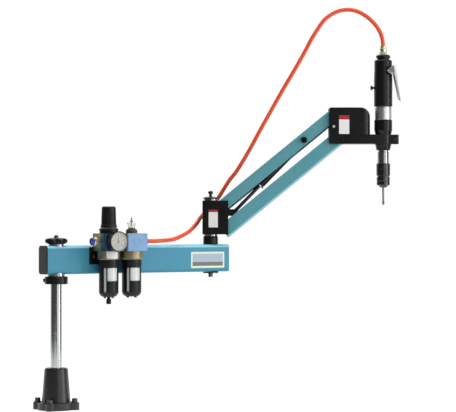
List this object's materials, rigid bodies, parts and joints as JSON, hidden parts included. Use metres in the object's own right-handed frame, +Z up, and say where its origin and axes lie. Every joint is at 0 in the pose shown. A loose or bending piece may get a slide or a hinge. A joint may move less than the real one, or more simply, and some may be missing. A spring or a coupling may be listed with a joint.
{
  "type": "arm tapping machine",
  "caption": "Bench tapping machine: a swivelling beam on a column carries a parallelogram arm with a gas spring, and a clamp head holds an upright air motor with its chuck and tap.",
  "frame": {"origin": "on the column's axis, at the underside of the foot", "axes": "+Z up along the column; +X along the beam from the column to the elbow; +Y away from the air unit; at rest the arms turn 33 degrees from +X towards -Y"},
  "size_m": [1.036, 0.3731, 1.174],
  "materials": {
    "black_casting": "satin black paint over a fine cast grain",
    "black_turned": "semi-gloss black over turned metal",
    "beam_blue": "satin blue powder coat",
    "arm_blue": "satin blue powder coat",
    "ground_steel": "hard chrome",
    "turned_steel": "turned",
    "black_steel": "blackened",
    "tool_steel": "straw-coloured ground",
    "black_plastic": "fine grain",
    "spring_black": "gloss black paint",
    "silver_band": "satin",
    "unit_alloy": "yellow passivated casting",
    "cover_blue": "smooth",
    "cover_pale": "smooth",
    "olive_plastic": "smooth",
    "clear_dome": "clear",
    "clear_bowl": "clear",
    "plated_brass": "nickel plate",
    "collar_blue": "smooth",
    "dial_white": "printed white",
    "needle_red": "painted",
    "hose_orange": "smooth polyurethane"
  },
  "bodies": {
    "stand": {"foot": "black_casting", "foot_bolts": "black_steel", "column": "ground_steel", "height_collar": "black_turned", "column_screws": "black_steel"},
    "lock_knob": {"lock_knob": "black_plastic"},
    "beam": {"beam_tube": "beam_blue", "beam_end_plug": "black_plastic", "beam_sleeves": "turned_steel", "column_bushes": "turned_steel", "elbow_shaft": "turned_steel", "elbow_bearing": "black_turned", "elbow_top_cap": "black_turned", "beam_screws": "black_steel", "unit_bracket": "black_turned", "unit_bodies": "unit_alloy", "regulator_cover": "cover_blue", "regulator_bonnet": "black_plastic", "lubricator_cover": "cover_pale", "oil_ring": "olive_plastic", "sight_dome": "clear_dome", "bowl_guards": "black_plastic", "bowls": "clear_bowl", "gauge_case": "black_plastic", "gauge_dial": "dial_white", "port_fittings": "plated_brass", "hose_lower": "hose_orange"},
    "regulator_knob": {"regulator_knob": "black_plastic"},
    "oil_adjuster": {"oil_adjuster": "plated_brass"},
    "drain_valve": {"drain_valve": "black_plastic"},
    "gauge_needle": {"gauge_needle": "needle_red"},
    "inlet_collar": {"inlet_collar": "collar_blue"},
    "outlet_collar": {"outlet_collar": "collar_blue"},
    "elbow": {"elbow_block": "black_casting", "elbow_rings": "turned_steel", "elbow_pins": "black_steel", "hose_rise": "hose_orange"},
    "elbow_lock": {"elbow_lock_screw": "black_steel"},
    "upper_arm": {"upper_arm": "arm_blue", "spring_bolt": "black_steel", "hose_loop": "hose_orange"},
    "lower_arm": {"lower_arm": "arm_blue"},
    "spring_cylinder": {"spring_cylinder": "spring_black"},
    "spring_rod": {"spring_rod": "black_steel"},
    "head": {"head_housing": "black_casting", "clamp_bar": "black_casting", "head_pins": "black_steel", "head_screws": "turned_steel", "motor_neck": "black_turned", "nose_collar": "black_turned", "motor_band": "silver_band", "motor_grip": "black_plastic", "motor_cap": "black_plastic", "hose_tail": "turned_steel"},
    "trigger": {"trigger_lever": "ground_steel"},
    "reverse_button": {"reverse_button": "black_plastic"},
    "spindle": {"spindle": "turned_steel", "chuck_body": "black_steel", "tap": "tool_steel"},
    "chuck_sleeve": {"chuck_sleeve": "black_steel"}
  },
  "joints": [
    {"name": "beam_swivel", "type": "hinge", "parent": "stand", "child": "beam", "pos_m": [0, 0, 0.3775], "axis": [0, 0, 1], "continuous": true},
    {"name": "lock_knob_turn", "type": "hinge", "parent": "stand", "child": "lock_knob", "pos_m": [0, 0, 0.462], "axis": [0, 0, 1], "range_deg": [-30, 330]},
    {"name": "elbow_swivel", "type": "hinge", "parent": "beam", "child": "elbow", "pos_m": [0.5115, 0, 0.487], "axis": [0, 0, 1], "range_deg": [-110, 170], "deforming": ["hose_lower"]},
    {"name": "elbow_lock_turn", "type": "hinge", "parent": "beam", "child": "elbow_lock", "pos_m": [0.5115, 0, 0.6], "axis": [0, 0, 1], "range_deg": [-30, 330]},
    {"name": "arm_lift", "type": "hinge", "parent": "elbow", "child": "upper_arm", "pos_m": [0.54924, -0.02451, 0.5765], "axis": [-0.5446, -0.8387, 0], "range_deg": [-69.3, 8.7], "deforming": ["hose_rise"]},
    {"name": "arm_follow", "type": "hinge", "parent": "elbow", "child": "lower_arm", "pos_m": [0.54924, -0.02451, 0.5007], "axis": [-0.5446, -0.8387, 0], "range_deg": [-69.8, 9.2]},
    {"name": "head_level", "type": "hinge", "parent": "upper_arm", "child": "head", "pos_m": [0.81663, -0.19815, 0.83745], "axis": [-0.5446, -0.8387, 0], "range_deg": [-9.2, 69.8], "deforming": ["hose_loop"]},
    {"name": "spring_swing", "type": "hinge", "parent": "upper_arm", "child": "spring_cylinder", "pos_m": [0.74199, -0.14968, 0.76461], "axis": [-0.5446, -0.8387, 0], "range_deg": [-3.38, 0.47]},
    {"name": "spring_slide", "type": "slide", "parent": "spring_cylinder", "child": "spring_rod", "axis": [-0.5843, 0.3794, -0.7174], "range_m": [-0.0348, 0.0046]},
    {"name": "trigger_squeeze", "type": "hinge", "parent": "head", "child": "trigger", "pos_m": [0.95195, -0.29166, 0.96885], "axis": [0.7314, 0.682, 0], "range_deg": [0, 12], "stiffness_Nm_per_rad": 1.2, "springref_deg": -8.59},
    {"name": "button_press", "type": "slide", "parent": "head", "child": "reverse_button", "axis": [0.8387, -0.5446, 0], "range_m": [0, 0.004], "stiffness_N_per_m": 900, "springref_m": -0.002},
    {"name": "spindle_turn", "type": "hinge", "parent": "head", "child": "spindle", "pos_m": [0.93865, -0.2774, 0.75285], "axis": [0, 0, 1], "continuous": true},
    {"name": "sleeve_lift", "type": "slide", "parent": "spindle", "child": "chuck_sleeve", "axis": [0, 0, 1], "range_m": [0, 0.0035], "stiffness_N_per_m": 1500, "springref_m": -0.002},
    {"name": "regulator_turn", "type": "hinge", "parent": "beam", "child": "regulator_knob", "pos_m": [0.133, -0.062, 0.506], "axis": [0, 0, 1], "range_deg": [-360, 360]},
    {"name": "gauge_sweep", "type": "hinge", "parent": "beam", "child": "gauge_needle", "pos_m": [0.133, -0.118, 0.469], "axis": [0, 1, 0], "range_deg": [-135, 135]},
    {"name": "drain_turn", "type": "hinge", "parent": "beam", "child": "drain_valve", "pos_m": [0.133, -0.062, 0.31], "axis": [0, 0, 1], "range_deg": [0, 180]},
    {"name": "oil_turn", "type": "hinge", "parent": "beam", "child": "oil_adjuster", "pos_m": [0.207, -0.062, 0.5], "axis": [0, 0, 1], "range_deg": [-180, 180]},
    {"name": "inlet_collar_press", "type": "slide", "parent": "beam", "child": "inlet_collar", "axis": [1, 0, 0], "range_m": [0, 0.0012], "stiffness_N_per_m": 400, "springref_m": -0.001},
    {"name": "outlet_collar_press", "type": "slide", "parent": "beam", "child": "outlet_collar", "axis": [-1, 0, 0], "range_m": [0, 0.0012], "stiffness_N_per_m": 400, "springref_m": -0.001}
  ],
  "couplings": [
    {"joint": "arm_follow", "follows": "arm_lift", "ratio": 1},
    {"joint": "head_level", "follows": "arm_lift", "ratio": -1},
    {"joint": "spring_swing", "follows": "arm_lift", "ratio": 0.048},
    {"joint": "spring_slide", "follows": "arm_lift", "m_per_rad": 0.0285}
  ]
}
